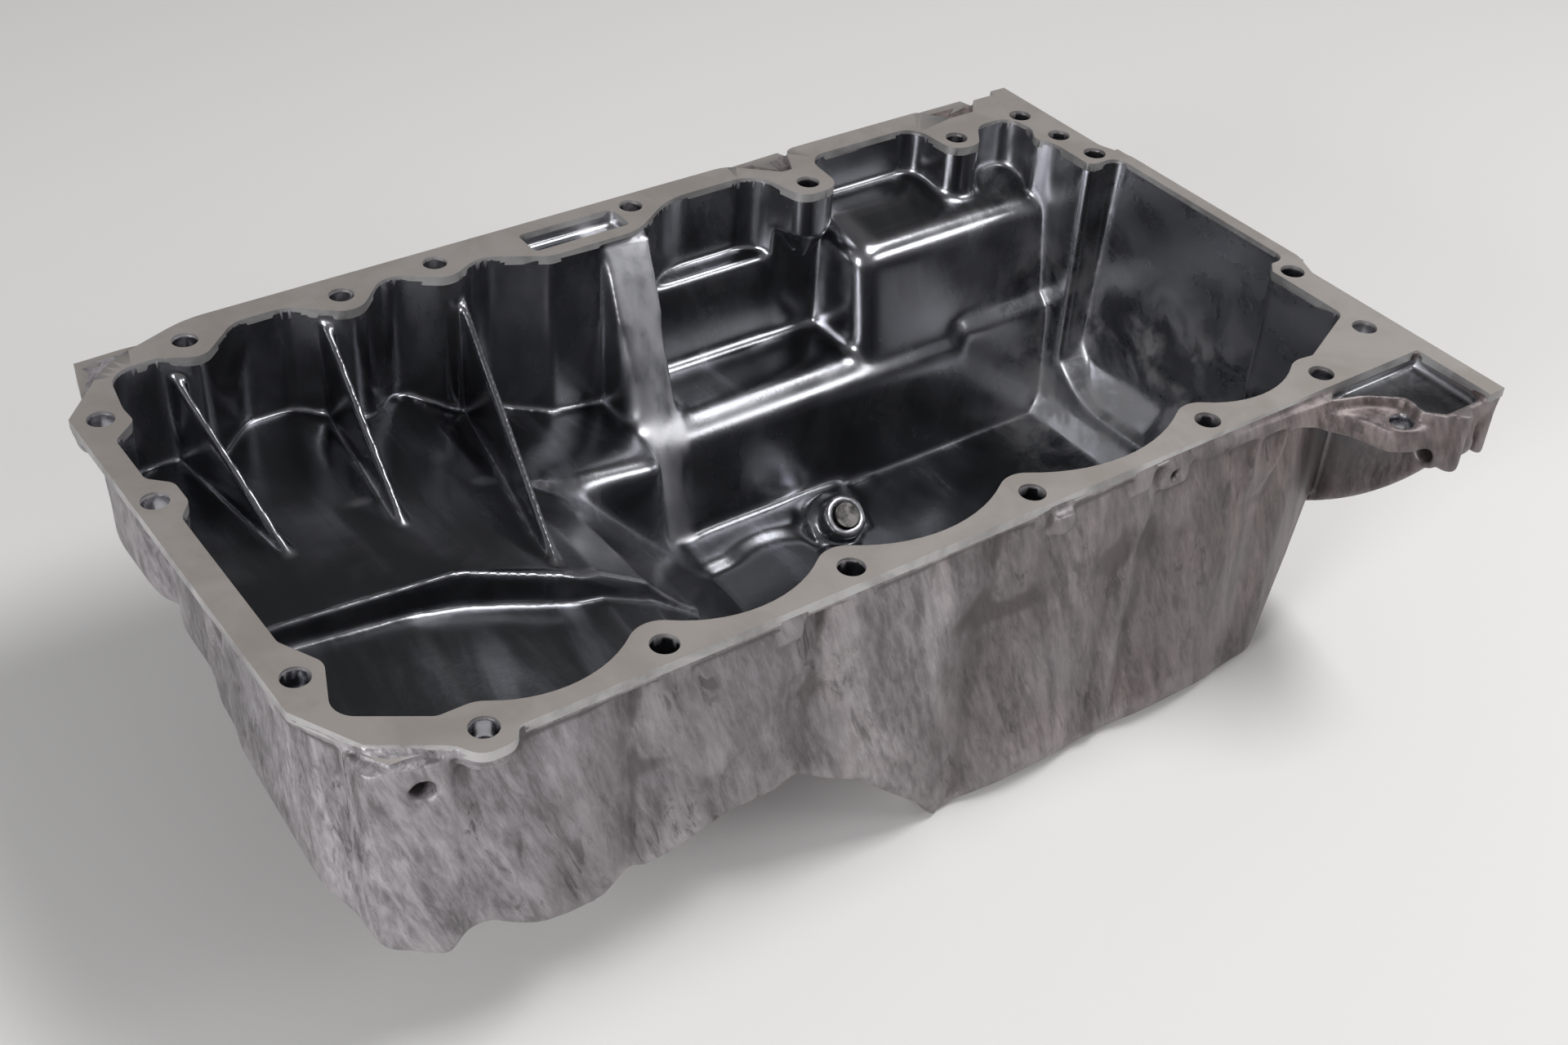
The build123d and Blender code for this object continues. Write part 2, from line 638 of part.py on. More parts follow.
# ---------------------------------------------------------------- pan
through_bolts = [corner_bolt] + [(x, row_y) for x in row_x] + left_bolts + back_bolts + right_bolts[:1]
deep_bolts = [blind_bolt] + right_bolts[1:]
blind_bolts = row_bolts[1:] + deep_bolts
deep_boss = 30.0

with BuildPart() as pan:
    with BuildSketch(gasket):
        add(body_face.sketch)
        with Locations(column_void_at):
            Rectangle(column_void[0] + 2 * wall, column_void[1] + 2 * wall)
    extrude(amount=-pan_depth)
    add(skin_wall.part)
    for void in (front_void, mid_void, shelf_void, pillar_void, bay_void, right_void, end_void, foot_void, corner_void):
        add(void, mode=Mode.SUBTRACT)
    add(step_cut, mode=Mode.SUBTRACT)
    add(front_edge, mode=Mode.SUBTRACT)
    add(left_edge, mode=Mode.SUBTRACT)
    add(round_bar(seat, pocket_r, 3 * boss_len), mode=Mode.SUBTRACT)
    add(gearbox_plate.part)
    with BuildSketch(gasket):
        add(face_outline(rim))
    extrude(amount=-flange_thick)
    with BuildSketch(gasket):
        with Locations(*through_bolts):
            Circle(boss_r)
        add(face_outline(rim), mode=Mode.INTERSECT)
    extrude(amount=-boss_drop)
    with BuildSketch(gasket):
        with Locations(*deep_bolts):
            Circle(boss_r)
        add(face_outline(rim), mode=Mode.INTERSECT)
    extrude(amount=-deep_boss)
    for piece in lugs:
        add(piece)
    for x in pads_x:
        add(lug([(x - pad_half, 2.0, 0.0), (x - pad_half, pad_front, 0.0), (x + pad_half, pad_front, 0.0), (x + pad_half, 2.0, 0.0)], *pad_span))
    for x in channel_rails:
        add(lug([(x - rail_width, 2.0, 0.0), (x - rail_width / 2, rail_front, 0.0), (x + rail_width / 2, rail_front, 0.0), (x + rail_width, 2.0, 0.0)], *rail_span))
    add(block(gasket.offset(-flange_thick), plan_box(slot_x, slot_y, grow=slot_frame), slot_low - flange_thick))
    add(bracket_body.part)
    add(hollow.part, mode=Mode.SUBTRACT)
    add(block(gasket, plan_box(slot_x, slot_y, slot_radius), slot_ledge), mode=Mode.SUBTRACT)
    add(block(gasket, plan_box(slot_deep_x, slot_deep_y), slot_low), mode=Mode.SUBTRACT)
    with BuildSketch(gasket):
        with Locations(*through_bolts):
            Circle(bolt_r)
    extrude(amount=-boss_drop, mode=Mode.SUBTRACT)
    # Every blind hole is drilled a little less deep than the one before it.
    for step, spot in enumerate(blind_bolts):
        with BuildSketch(gasket):
            with Locations(spot):
                Circle(bolt_r)
        extrude(amount=step * depth_step - blind_depth, mode=Mode.SUBTRACT)
    with BuildSketch(gasket.offset(ledge_top)):
        with Locations(ledge_hole):
            Circle(ledge_hole_r)
    extrude(amount=bracket_low - ledge_top, mode=Mode.SUBTRACT)
    with BuildSketch(gasket.offset(ledge_top)):
        with Locations(ledge_hole):
            Circle(ledge_hole_r + ledge_relief)
    extrude(amount=-ledge_top, mode=Mode.SUBTRACT)
    with BuildSketch(across(stud_x)):
        with Locations(stud_at):
            Circle(stud_r)
    extrude(amount=stud_depth, mode=Mode.SUBTRACT)
    with BuildSketch(along(lug_hole_front)):
        with Locations(front_lug_hole):
            Circle(front_lug_hole_r)
        with Locations(hole_lug_at):
            Circle(hole_lug_r)
    extrude(amount=-lug_hole_depth, mode=Mode.SUBTRACT)
    add(round_bar(plug_face, plug_r, boss_len), mode=Mode.SUBTRACT)

# ---------------------------------------------------------------- drain plug and washer
with BuildPart() as plug:
    with BuildSketch(plug_face.offset(plug_proud)):
        Circle(plug_r - plug_gap)
    extrude(amount=-boss_len - plug_proud)
    with BuildSketch(seat):
        Circle(plug_r - plug_gap)
    extrude(amount=-washer_thick)
    with BuildSketch(seat.offset(-washer_thick)):
        Circle(head_r)
    extrude(amount=-head_thick)
    with BuildSketch(seat.offset(-washer_thick - head_thick)):
        RegularPolygon(socket_r, 6)
    extrude(amount=head_thick, mode=Mode.SUBTRACT)

with BuildPart() as washer:
    with BuildSketch(seat):
        Circle(washer_r)
        Circle(plug_r + plug_gap, mode=Mode.SUBTRACT)
    extrude(amount=-washer_thick)

pan.part.label = "pan_casting"
plug.part.label = "drain_plug"
washer.part.label = "plug_washer"
os.makedirs("parts", exist_ok=True)
export_step(pan.part, "parts/pan_casting.step")
export_step(plug.part, "parts/drain_plug.step")
export_step(washer.part, "parts/plug_washer.step")
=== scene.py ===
import bpy
import bmesh
import json
import math
import numpy as np
from mathutils import Matrix, Vector
from mathutils.bvhtree import BVHTree

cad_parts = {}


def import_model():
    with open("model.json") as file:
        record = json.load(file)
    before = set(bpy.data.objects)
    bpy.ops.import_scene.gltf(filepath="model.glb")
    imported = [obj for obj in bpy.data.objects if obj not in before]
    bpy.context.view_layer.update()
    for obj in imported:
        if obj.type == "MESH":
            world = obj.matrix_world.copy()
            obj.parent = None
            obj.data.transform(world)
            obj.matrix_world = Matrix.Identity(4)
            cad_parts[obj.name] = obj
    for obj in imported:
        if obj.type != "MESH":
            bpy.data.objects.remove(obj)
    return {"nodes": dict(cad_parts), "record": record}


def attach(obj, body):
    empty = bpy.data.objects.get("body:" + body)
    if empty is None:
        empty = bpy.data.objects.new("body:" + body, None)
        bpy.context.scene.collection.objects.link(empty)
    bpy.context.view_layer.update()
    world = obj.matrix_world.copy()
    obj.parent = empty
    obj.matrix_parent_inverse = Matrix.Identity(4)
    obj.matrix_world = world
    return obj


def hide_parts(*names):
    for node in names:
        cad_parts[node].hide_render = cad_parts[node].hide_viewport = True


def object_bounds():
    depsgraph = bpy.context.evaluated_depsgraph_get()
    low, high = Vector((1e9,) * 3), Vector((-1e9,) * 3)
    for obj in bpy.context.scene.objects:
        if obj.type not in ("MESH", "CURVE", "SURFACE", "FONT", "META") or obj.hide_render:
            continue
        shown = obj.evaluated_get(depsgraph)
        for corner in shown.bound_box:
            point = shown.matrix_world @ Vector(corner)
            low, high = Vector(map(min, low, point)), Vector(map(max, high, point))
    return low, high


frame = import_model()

cad_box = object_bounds()

# Sizes in metres.  The corner bolt's hole at the milled face is the mark that places are measured from.
MILLED_Z = round(cad_box[1].z, 6)
corner_bolt = next(mount for mount in frame["record"]["mounts"] if mount["name"] == "corner_bolt")
CORNER_MARK = Vector((*corner_bolt["pos_m"][:2], MILLED_Z))


# ---------------------------------------------------------------- shader maths
class Value:
    """A node socket that can be used in sums, so that shader maths reads as it would on paper."""

    def __init__(self, material, socket):
        self.material = material
        self.socket = socket

    def maths(self, operation, first, second):
        return self.material.node("ShaderNodeMath", {"operation": operation}, first, second)

    def __add__(self, other):
        return self.maths("ADD", self, other)

    def __sub__(self, other):
        return self.maths("SUBTRACT", self, other)

    def __rsub__(self, other):
        return self.maths("SUBTRACT", other, self)

    def __mul__(self, other):
        return self.maths("MULTIPLY", self, other)

    __radd__ = __add__
    __rmul__ = __mul__

    def clamp(self):
        return self.material.node("ShaderNodeClamp", {}, self)

    def step(self, start, end):
        """0 before start, 1 after end, and a smooth rise between them."""
        settings = {"interpolation_type": "SMOOTHSTEP"}
        return self.material.node("ShaderNodeMapRange", settings, self, start, end, 0.0, 1.0)


class Finish:
    """A material that is put together one node at a time."""

    def __init__(self, name):
        self.made = bpy.data.materials.new(name)
        self.made.use_nodes = True
        self.tree = self.made.node_tree
        self.shader = self.tree.nodes["Principled BSDF"]
        self.position = self.node("ShaderNodeNewGeometry", {}, out="Position")
        self.normal = self.node("ShaderNodeNewGeometry", {}, out="Normal")

    def feed(self, socket, value):
        """Links a value to a socket, or writes a plain number or colour on it."""
        if isinstance(value, Value):
            self.tree.links.new(value.socket, socket)
        else:
            socket.default_value = value

    def node(self, kind, settings, *values, out=0, **named):
        """Adds a node, applies its settings, then fills its sockets in order and by name."""
        made = self.tree.nodes.new(kind)
        for key, setting in settings.items():
            setattr(made, key, setting)
        sockets = [s for s in made.inputs if s.enabled]
        for socket, value in zip(sockets, values):
            self.feed(socket, value)
        for name, value in named.items():
            self.feed(made.inputs[name.replace("_", " ")], value)
        outs = [s for s in made.outputs if s.enabled]
        found = outs[out] if isinstance(out, int) else made.outputs[out]
        return Value(self, found)

    def axis(self, vector, letter):
        return self.node("ShaderNodeSeparateXYZ", {}, vector, out=letter)

    def stretched(self, x, y, z):
        """The place on the object, stretched along its axes."""
        return self.node("ShaderNodeVectorMath", {"operation": "MULTIPLY"}, self.position, (x, y, z))

    def noise(self, place, scale, detail=4.0, roughness=0.55, distortion=0.0):
        return self.node(
            "ShaderNodeTexNoise", {}, Vector=place, Scale=scale, Detail=detail,
            Roughness=roughness, Distortion=distortion,
        )

    def mix(self, factor, low, high):
        """A colour between two others."""
        low, high = (end if isinstance(end, Value) else (*end, 1.0) for end in (low, high))
        return self.node("ShaderNodeMix", {"data_type": "RGBA"}, factor, low, high)

    def bump(self, height, strength, distance):
        return self.node("ShaderNodeBump", {}, Strength=strength, Distance=distance, Height=height)

    def look(self, **values):
        """Feeds the shader's sockets by name."""
        for name, value in values.items():
            self.feed(self.shader.inputs[name.replace("_", " ")], value)
        return self.made

    def attribute(self, name):
        return self.node("ShaderNodeAttribute", {"attribute_name": name}, out="Fac")


# ---------------------------------------------------------------- finishes
# Colours of the casting: each pair is the darkest and the palest that one finish gets.
SILVER_SKIN = ((0.160, 0.149, 0.160), (0.560, 0.534, 0.566))
# The pinkish brown is a painted reflection of a brown board under the pan, laid into the skin's colour.
BROWN_REFLECTION_SKIN = ((0.080, 0.063, 0.060), (0.340, 0.277, 0.266))
GREY_CLOUD = (0.085, 0.076, 0.079)
DARK_SMEAR = (0.060, 0.054, 0.055)
# Painted shade: darkens the hollows and grooves of the outer walls.
GROOVE_SHADE = (0.060, 0.049, 0.047)
# Pale on convex edges outside: partly wear and partly a painted highlight.
WORN_EDGE_AND_HIGHLIGHT = (0.440, 0.405, 0.410)
# Oiled floors, painted darker than the walls as a painted dark reflection on up-facing surfaces.
OILED_FLOOR_DARK_REFLECTION = ((0.066, 0.068, 0.073), (0.160, 0.163, 0.184))
OILED_WALL = ((0.310, 0.312, 0.333), (0.460, 0.465, 0.495))
# Painted highlight on convex edges inside.
OILED_EDGE_HIGHLIGHT = (0.500, 0.500, 0.530)
DRY_STAIN = (0.600, 0.600, 0.610)
DRY_PILLAR = (0.640, 0.640, 0.670)
# Where the drier places of the inside begin and end, in metres along, across and up the pan.
END_WALL = (0.150, 0.195)
STAIN_TOP = (0.065, 0.100)
PILLAR_LEFT = (-0.009, -0.005)
PILLAR_RIGHT = (0.009, 0.013)
PILLAR_FRONT = (0.066, 0.069)


def dry_outside(f, along_pan, across_pan, height):
    """Silver at the shallow end, pinkish brown towards the gearbox end as a painted reflection of a brown
    board below, with slanting smears, painted shade in the grooves, and convex edges paled partly as wear and
    partly as painted highlight.

    Gives the colour, the roughness and the fibres that the relief takes up."""
    slant = f.node("ShaderNodeCombineXYZ", {}, along_pan + height * 0.35, across_pan, height * 0.22)
    runs = f.noise(slant, 85.0, 6.0, 0.62, 0.5).step(0.36, 0.66)
    fibres = f.noise(slant, 420.0, 4.0, 0.65, 0.3).step(0.34, 0.68)
    patches = f.noise(f.position, 24.0, 4.0, 0.6, 0.4).step(0.36, 0.64)
    smears = f.noise(slant, 150.0, 5.0, 0.7, 0.9).step(0.54, 0.64) * patches
    clouds = f.noise(f.stretched(1.0, 1.0, 0.6), 13.0, 3.0, 0.5, 0.6).step(0.38, 0.62)
    # How much of the painted brown reflection each place gets: more towards the gearbox end, varied by the
    # patches.
    brown_reflection_share = (along_pan * 3.2 + 0.36 + patches * 0.3).clamp()
    worn = runs * 0.55 + fibres * 0.45
    # Painted shade in the hollows, by how concave the surface is.
    groove_shade = f.attribute("hollow").step(0.2, 1.0) * 0.6
    colour = f.mix(brown_reflection_share, f.mix(worn, *SILVER_SKIN), f.mix(worn, *BROWN_REFLECTION_SKIN))
    colour = f.mix(clouds * 0.42, colour, GREY_CLOUD)
    colour = f.mix(smears * 0.75, colour, DARK_SMEAR)
    colour = f.mix(groove_shade, colour, GROOVE_SHADE)
    # Convex edges paled, partly as wear along the runs and partly as a painted highlight.
    colour = f.mix(f.attribute("edge") * (0.06 + runs * 0.28), colour, WORN_EDGE_AND_HIGHLIGHT)
    return colour, 0.44 + smears * 0.12 + fibres * 0.10, fibres


def oiled_inside(f, along_pan, across_pan, height):
    """Dark and wet, with up-facing floors painted darker than the walls as a painted dark reflection, paler
    bands on the floor, dry stains low on the end wall, a drier pillar and convex edges paled as painted
    highlight.

    Gives the colour and the roughness."""
    wash = f.noise(f.stretched(1.0, 0.18, 0.6), 45.0, 4.0, 0.6, 0.5).step(0.42, 0.68)
    film = f.noise(f.position, 18.0, 4.0, 0.55, 0.4).step(0.35, 0.68)
    level = f.axis(f.normal, "Z").step(0.6, 0.95)
    blots = f.noise(f.position, 38.0, 7.0, 0.7, 0.5).step(0.38, 0.64)
    streaks = f.noise(f.stretched(1.0, 1.0, 0.3), 90.0, 5.0).step(0.2, 0.6)
    stains = along_pan.step(*END_WALL) * blots * (1.0 - height.step(*STAIN_TOP) * 0.75)
    pillar = along_pan.step(*PILLAR_LEFT) * (1.0 - along_pan.step(*PILLAR_RIGHT))
    pillar = pillar * across_pan.step(*PILLAR_FRONT) * streaks
    walls = f.mix(wash * 0.5 + film * 0.5, *OILED_WALL)
    # Up-facing surfaces take the darker floor colour: painted dark reflection.
    colour = f.mix(level, walls, f.mix(wash * film, *OILED_FLOOR_DARK_REFLECTION))
    colour = f.mix(stains * 0.85, colour, DRY_STAIN)
    colour = f.mix(pillar * 0.9, colour, DRY_PILLAR)
    # Painted highlight: convex edges inside paled by their curvature.
    colour = f.mix(f.attribute("edge") * 0.4, colour, OILED_EDGE_HIGHLIGHT)
    return colour, 0.20 + film * 0.08 + wash * 0.06 + stains * 0.34 + pillar * 0.22


def cast_skin():
    """As-cast aluminium: oiled and glossy inside, dry and streaked outside."""
    f = Finish("cast_skin")
    inside = f.attribute("inside")
    place = [f.axis(f.position, letter) for letter in "XYZ"]
    outer, rough_outer, fibres = dry_outside(f, *place)
    inner, rough_inner = oiled_inside(f, *place)
    grain = f.noise(f.position, 900.0, 3.0, 0.6)
    sand = f.noise(f.position, 260.0, 4.0, 0.6)
    relief = (sand * 0.6 + grain * 0.25 + fibres * 0.25) * (1.0 - inside * 0.8)
    return f.look(
        Base_Color=f.mix(inside, outer, inner),
        Roughness=rough_outer + (rough_inner - rough_outer) * inside,
        Metallic=0.45 + inside * 0.55,
        Normal=f.bump(relief, 0.35, 0.0006),
    )


def milled_face():
    """The bolt face, milled flat with fine cutter marks and left dull by the sealant."""
    f = Finish("milled_face")
    marks = f.noise(f.stretched(1.0, 0.05, 1.0), 900.0, 3.0, 0.6)
    patches = f.noise(f.position, 35.0, 5.0, 0.6, 0.5).step(0.35, 0.65)
    up = f.axis(f.normal, "Z").step(0.5, 0.9)
    face = f.mix(patches, (0.40, 0.365, 0.34), (0.47, 0.435, 0.41))
    face = f.mix(marks * 0.25, face, (0.33, 0.30, 0.28))
    side = f.mix(patches, (0.30, 0.29, 0.29), (0.55, 0.54, 0.54))
    return f.look(
        Base_Color=f.mix(up, side, face),
        Roughness=0.42 + marks * 0.12 + up * 0.08,
        Metallic=0.6,
        Normal=f.bump(marks, 0.12, 0.0002),
    )


def small_metal(name, dark, pale, film_scale, roughness, grain_scale):
    """Bare metal under an uneven film of old oil."""
    f = Finish(name)
    film = f.noise(f.position, film_scale, 4.0, 0.6, 0.5).step(0.35, 0.65)
    return f.look(
        Base_Color=f.mix(film, dark, pale),
        Roughness=roughness + film * 0.15,
        Metallic=1.0,
        Normal=f.bump(f.noise(f.position, grain_scale, 3.0), 0.2, 0.0002),
    )


def plated_steel():
    """The drain plug's steel, dark with old oil."""
    return small_metal("plated_steel", (0.06, 0.058, 0.056), (0.20, 0.19, 0.185), 160.0, 0.28, 1500.0)


def soft_aluminium():
    """The crushed sealing ring's metal."""
    return small_metal("soft_aluminium", (0.30, 0.29, 0.28), (0.48, 0.46, 0.44), 220.0, 0.38, 1800.0)


# ---------------------------------------------------------------- the casting
# The voxel grid that the body is smoothed on, the length that its edges are rounded over, and its triangles.
GRID = 0.0009
SOFT_EDGE = 0.0022
BODY_TRIANGLES = 190000
# Blocks with fuller rounding, in millimetres from the corner mark: centre, half size, fade, rounding length.
CUSHIONS = {
    "pillar_foot": ((143.0, 160.0, -88.0), (24.0, 22.0, 34.0), 8.0, 10.0),
    "middle_bay": ((215.0, 185.0, -85.0), (50.0, 34.0, 46.0), 8.0, 5.0),
    "right_mass": ((300.0, 192.0, -60.0), (34.0, 22.0, 36.0), 8.0, 4.0),
    "front_wall": ((150.0, -6.0, -82.0), (190.0, 14.0, 52.0), 12.0, 5.0),
    "left_wall": ((-36.0, 110.0, -75.0), (12.0, 130.0, 50.0), 10.0, 5.0),
}
# The front wall's swellings, in millimetres from the corner mark: left groove, right groove and rise.
SWELLINGS = [
    (0.0, 47.0, 5.0),
    (47.0, 112.5, 8.0),
    (112.5, 180.5, 8.0),
    (180.5, 246.5, 8.0),
    (246.5, 316.0, 8.0),
]
# How far forward they come, how far back their skin reaches, and the heights where they start and are full.
SWELL_FRONT = -3.6
SWELL_SKIN = 1.9
SWELL_TOP = -26.0
SWELL_FULL = -42.0
# The narrow rib that stands in a groove of the front wall, from its left side to its right.
GROOVE_RIB = (242.6, 248.9)
# Close under the milled face the edges stay nearly sharp: the least rounding, how deep it goes, and the fade.
LIP_ROUNDING = 0.12
LIP_DEPTH = 0.0045
LIP_FADE = 0.006
# How much of the rim is a crisp piece of its own, and how far the body stays below its face.
RIM_DEPTH = 0.0035
BODY_BELOW_FACE = 0.0008
RIM_SHARP_ANGLE = math.radians(30.0)
# How the curve of the surface is read: rounds of smoothing, and the rise in metres that counts as full.
CURVE_ROUNDS = 60
FULL_CURVE = 0.0011
# A place inside the pan, this far off the surface, meets a wall on each of these ways out.
WAYS_OUT = [Vector(way) for way in ((0.0, -1.0, 0.0), (-1.0, 0.0, 0.0), (0.0, 1.0, 0.0), (1.0, 0.0, 0.0))]
OFF_SURFACE = 0.0008
# Points nearer than this are one point, and a cut takes in points that are this near it.
WELD = 0.000002
CUT_WIDTH = 0.0000001


def link(name, data):
    made = bpy.data.objects.new(name, data)
    bpy.context.scene.collection.objects.link(made)
    return made


def welded_copy(node, name):
    """A copy of a solid's mesh, with its points joined up."""
    mesh = node.data.copy()
    mesh.name = name
    work = bmesh.new()
    work.from_mesh(mesh)
    bmesh.ops.remove_doubles(work, verts=work.verts, dist=WELD)
    work.to_mesh(mesh)
    work.free()
    return link(name, mesh)


def settled(obj):
    """The object's mesh with its modifiers applied."""
    shape = obj.evaluated_get(bpy.context.evaluated_depsgraph_get())
    mesh = bpy.data.meshes.new_from_object(shape)
    obj.modifiers.clear()
    obj.data = mesh
    return mesh


def read(rows, key, width, kind):
    """One property of a mesh's points, edges or triangles, as rows of numbers."""
    values = np.empty(len(rows) * width, dtype=kind)
    rows.foreach_get(key, values)
    return values.reshape(-1, width)


def points_of(mesh):
    return read(mesh.vertices, "co", 3, np.float32)


def edges_of(mesh):
    return read(mesh.edges, "vertices", 2, np.int32)


def local(places):
    """Places in millimetres from the corner mark."""
    return (places - np.array(CORNER_MARK)) * 1000.0


def swell(places):
    """Rounds the front wall between its grooves, below the bolts, and leaves the narrow rib as it is."""
    x, y, z = local(places).T
    depth = np.clip((SWELL_TOP - z) / (SWELL_TOP - SWELL_FULL), 0.0, 1.0)
    wall = (y < SWELL_SKIN) & ((x < GROOVE_RIB[0]) | (x > GROOVE_RIB[1]))
    for left, right, rise in SWELLINGS:
        here = wall & (x > left) & (x < right)
        round_front = SWELL_FRONT + rise * (1.0 - np.sin(np.pi * (x - left) / (right - left)))
        pushed = np.where(here, np.maximum(y, round_front), y)
        places[:, 1] += (pushed - y) * depth / 1000.0


def zone(places, centre, half, fade):
    """1 within an upright block, and a fall to 0 over the fade."""
    offset = np.abs(local(places) - np.array(centre))
    return np.clip(1.0 - (offset - np.array(half)).max(axis=1) / fade, 0.0, 1.0)


def rounds_for(length):
    """How many rounds of smoothing the voxel grid takes for a length in metres."""
    return round(2.0 * (length / GRID) ** 2)


def relax(places, edges, weights, rounds):
    """Moves each point towards the middle of its neighbours, by its weight, for some rounds."""
    touched = (weights[edges] > 0.0).any(axis=1)
    used, ends = np.unique(edges[touched], return_inverse=True)
    first, second = ends.reshape(-1, 2).T
    share = 0.5 * weights[used] / np.bincount(np.concatenate((first, second)), minlength=len(used))
    part = places[used].astype(np.float64)
    for _ in range(rounds):
        for axis in range(3):
            along = part[:, axis]
            pull = along[second] - along[first]
            total = np.bincount(first, pull, len(used)) - np.bincount(second, pull, len(used))
            part[:, axis] += share * total
    places[used] = part


def soften(obj):
    """Rounds every as-cast edge, most on the big masses and least near the milled face."""
    remesh = obj.modifiers.new("grid", "REMESH")
    remesh.mode = "VOXEL"
    remesh.voxel_size = GRID
    mesh = settled(obj)
    places = points_of(mesh)
    edges = edges_of(mesh)
    swell(places)
    below = MILLED_Z - places[:, 2]
    softness = np.clip(LIP_ROUNDING + (below - LIP_DEPTH) / LIP_FADE, LIP_ROUNDING, 1.0)
    relax(places, edges, softness, rounds_for(SOFT_EDGE))
    for centre, half, fade, length in CUSHIONS.values():
        relax(places, edges, zone(places, centre, half, fade), rounds_for(length / 1000.0))
    places[:, 2] = np.clip(places[:, 2], 0.0, MILLED_Z - BODY_BELOW_FACE)
    mesh.vertices.foreach_set("co", places.ravel())
    mesh.update()
    mesh.calc_loop_triangles()
    thin = obj.modifiers.new("thin", "DECIMATE")
    thin.ratio = min(1.0, BODY_TRIANGLES / len(mesh.loop_triangles))
    return settled(obj)


def read_surface(mesh):
    """Notes on each point whether it is inside the pan, and how hollow or edged the surface is there."""
    mesh.calc_loop_triangles()
    places = points_of(mesh)
    normals = read(mesh.vertex_normals, "vector", 3, np.float32)
    triangles = read(mesh.loop_triangles, "vertices", 3, np.int32)
    tree = BVHTree.FromPolygons(places.tolist(), triangles.tolist())
    inside = np.zeros(len(places))
    for i, (place, normal) in enumerate(zip(places, normals)):
        start = Vector(place) + Vector(normal) * OFF_SURFACE
        if all(tree.ray_cast(start, way)[0] is not None for way in WAYS_OUT):
            inside[i] = 1.0
    smoothed = places.copy()
    relax(smoothed, edges_of(mesh), np.ones(len(places)), CURVE_ROUNDS)
    rise = ((smoothed - places) * normals).sum(axis=1) / FULL_CURVE
    notes = {"inside": inside, "hollow": np.clip(rise, 0.0, 1.0), "edge": np.clip(-rise, 0.0, 1.0)}
    for name, values in notes.items():
        mesh.attributes.new(name, "FLOAT", "POINT").data.foreach_set("value", values.astype(np.float32))


def milled_rim(obj):
    """Keeps only the milled top of the casting, closed underneath."""
    mesh = obj.data
    work = bmesh.new()
    work.from_mesh(mesh)
    cut = bmesh.ops.bisect_plane(
        work, geom=work.verts[:] + work.edges[:] + work.faces[:], dist=CUT_WIDTH,
        plane_co=(0.0, 0.0, MILLED_Z - RIM_DEPTH), plane_no=(0.0, 0.0, 1.0), clear_inner=True,
    )
    rim = [e for e in cut["geom_cut"] if isinstance(e, bmesh.types.BMEdge)]
    bmesh.ops.triangle_fill(work, use_beauty=True, use_dissolve=False, edges=rim)
    bmesh.ops.recalc_face_normals(work, faces=work.faces)
    work.to_mesh(mesh)
    work.free()
    mesh.shade_smooth()
    mesh.set_sharp_from_angle(angle=RIM_SHARP_ANGLE)


pan_node = frame["nodes"]["pan_casting"]
body = welded_copy(pan_node, "pan_cast_body")
skin = soften(body)
skin.shade_smooth()
read_surface(skin)
rim = welded_copy(pan_node, "pan_milled_rim")
milled_rim(rim)

for piece, finish in ((body, cast_skin()), (rim, milled_face())):
    piece.data.materials.clear()
    piece.data.materials.append(finish)
    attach(piece, "root")
    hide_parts("pan_casting")
for name, finish in (("drain_plug", plated_steel()), ("plug_washer", soft_aluminium())):
    for place in frame["nodes"][name].material_slots:
        place.material = finish


# ---------------------------------------------------------------- floor, light and camera
# The floor's colour to the eye and in the light that it throws back, and its half width and drop in metres.
FLOOR_SEEN = (0.84, 0.83, 0.82)
FLOOR_LIGHT = (0.36, 0.35, 0.34)
FLOOR_REACH = 30.0
FLOOR_DROP = 0.0002
WORLD_COLOUR = (0.9, 0.9, 0.91, 1.0)
WORLD_STRENGTH = 0.24
# Each softbox: place, aim, width and height in metres, and power in watts.
SOFTBOXES = {
    "top_softbox": ((0.7, -0.35, 1.6), (0.0, 0.0, 0.0), (0.8, 0.45), 17.0),
    "right_softbox": ((1.3, -1.4, 1.0), (0.0, 0.0, 0.05), (0.9, 0.6), 8.0),
    "left_softbox": ((-1.6, -0.6, 0.55), (0.0, 0.0, 0.05), (0.5, 0.8), 18.0),
}
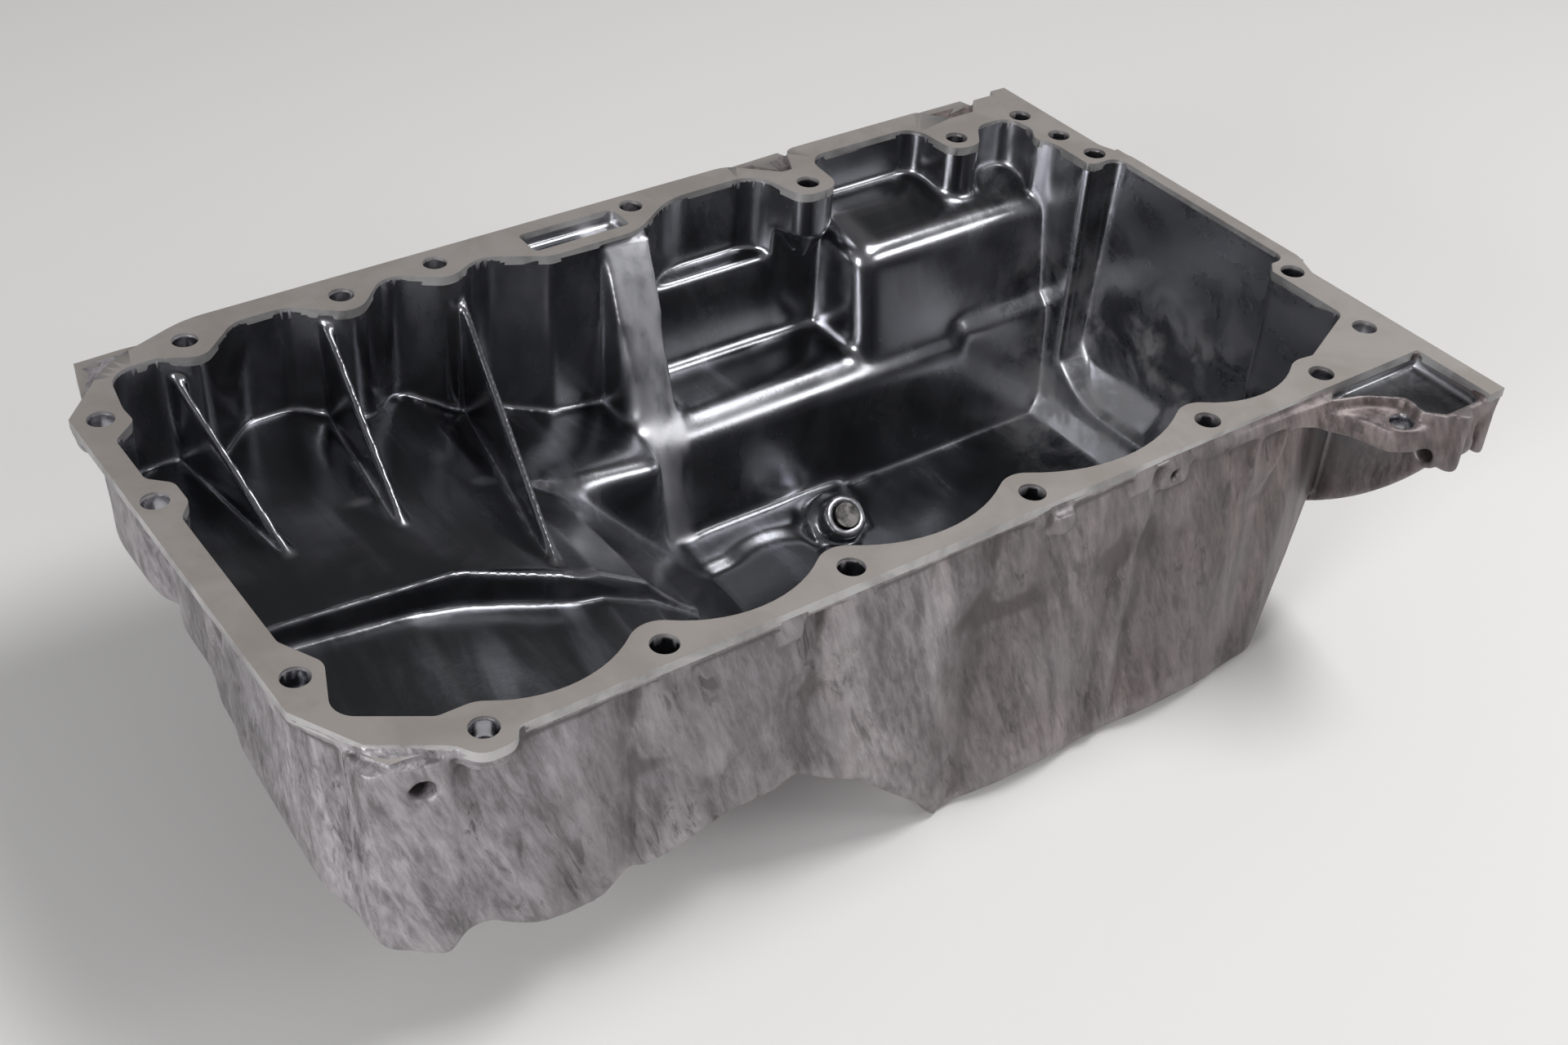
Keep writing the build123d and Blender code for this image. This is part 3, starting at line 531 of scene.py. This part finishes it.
# The camera's place from the corner mark, where its right, top and front face, and its lens in millimetres.
CAMERA_PLACE = Vector((-0.18778, -0.36346, 0.38260))
CAMERA_RIGHT = Vector((0.81196, -0.58104, 0.05571))
CAMERA_TOP = Vector((0.31779, 0.52011, 0.79278))
CAMERA_FRONT = Vector((0.48961, 0.62600, -0.60696))
CAMERA_LENS = 47.48
CAMERA_SENSOR = 36.0
CAMERA_NEAREST = 0.01


def pale_floor():
    """Pale to the eye and in reflections, and duller in the light that it throws back."""
    f = Finish("pale_floor")
    camera_ray = f.node("ShaderNodeLightPath", {}, out="Is Camera Ray")
    glossy_ray = f.node("ShaderNodeLightPath", {}, out="Is Glossy Ray")
    transmission_ray = f.node("ShaderNodeLightPath", {}, out="Is Transmission Ray")
    seen = (camera_ray + glossy_ray + transmission_ray).clamp()
    return f.look(Base_Color=f.mix(seen, FLOOR_LIGHT, FLOOR_SEEN), Roughness=0.85, Specular_IOR_Level=0.15)


def floor():
    corners = [(x * FLOOR_REACH, y * FLOOR_REACH, 0.0) for x, y in ((-1, -1), (1, -1), (1, 1), (-1, 1))]
    mesh = bpy.data.meshes.new("floor")
    mesh.from_pydata(corners, [], [(0, 1, 2, 3)])
    mesh.materials.append(pale_floor())
    made = link("floor", mesh)
    made.location.z = -FLOOR_DROP


def softbox(name, place, aim, size, power):
    data = bpy.data.lights.new(name, "AREA")
    data.shape = "RECTANGLE"
    data.size, data.size_y = size
    data.energy = power
    made = link(name, data)
    made.location = place
    made.rotation_mode = "QUATERNION"
    made.rotation_quaternion = (Vector(aim) - Vector(place)).to_track_quat("-Z", "Y")


def world():
    made = bpy.data.worlds.new("studio")
    bpy.context.scene.world = made
    made.use_nodes = True
    background = made.node_tree.nodes["Background"]
    background.inputs["Color"].default_value = WORLD_COLOUR
    background.inputs["Strength"].default_value = WORLD_STRENGTH


def camera():
    data = bpy.data.cameras.new("camera")
    data.lens = CAMERA_LENS
    data.sensor_width = CAMERA_SENSOR
    data.clip_start = CAMERA_NEAREST
    made = link("camera", data)
    turn = Matrix((CAMERA_RIGHT, CAMERA_TOP, -CAMERA_FRONT)).transposed().to_4x4()
    made.matrix_world = Matrix.Translation(CORNER_MARK + CAMERA_PLACE) @ turn
    bpy.context.scene.camera = made


floor()
world()
for name, settings in SOFTBOXES.items():
    softbox(name, *settings)
camera()
bpy.context.scene.view_settings.view_transform = "Standard"
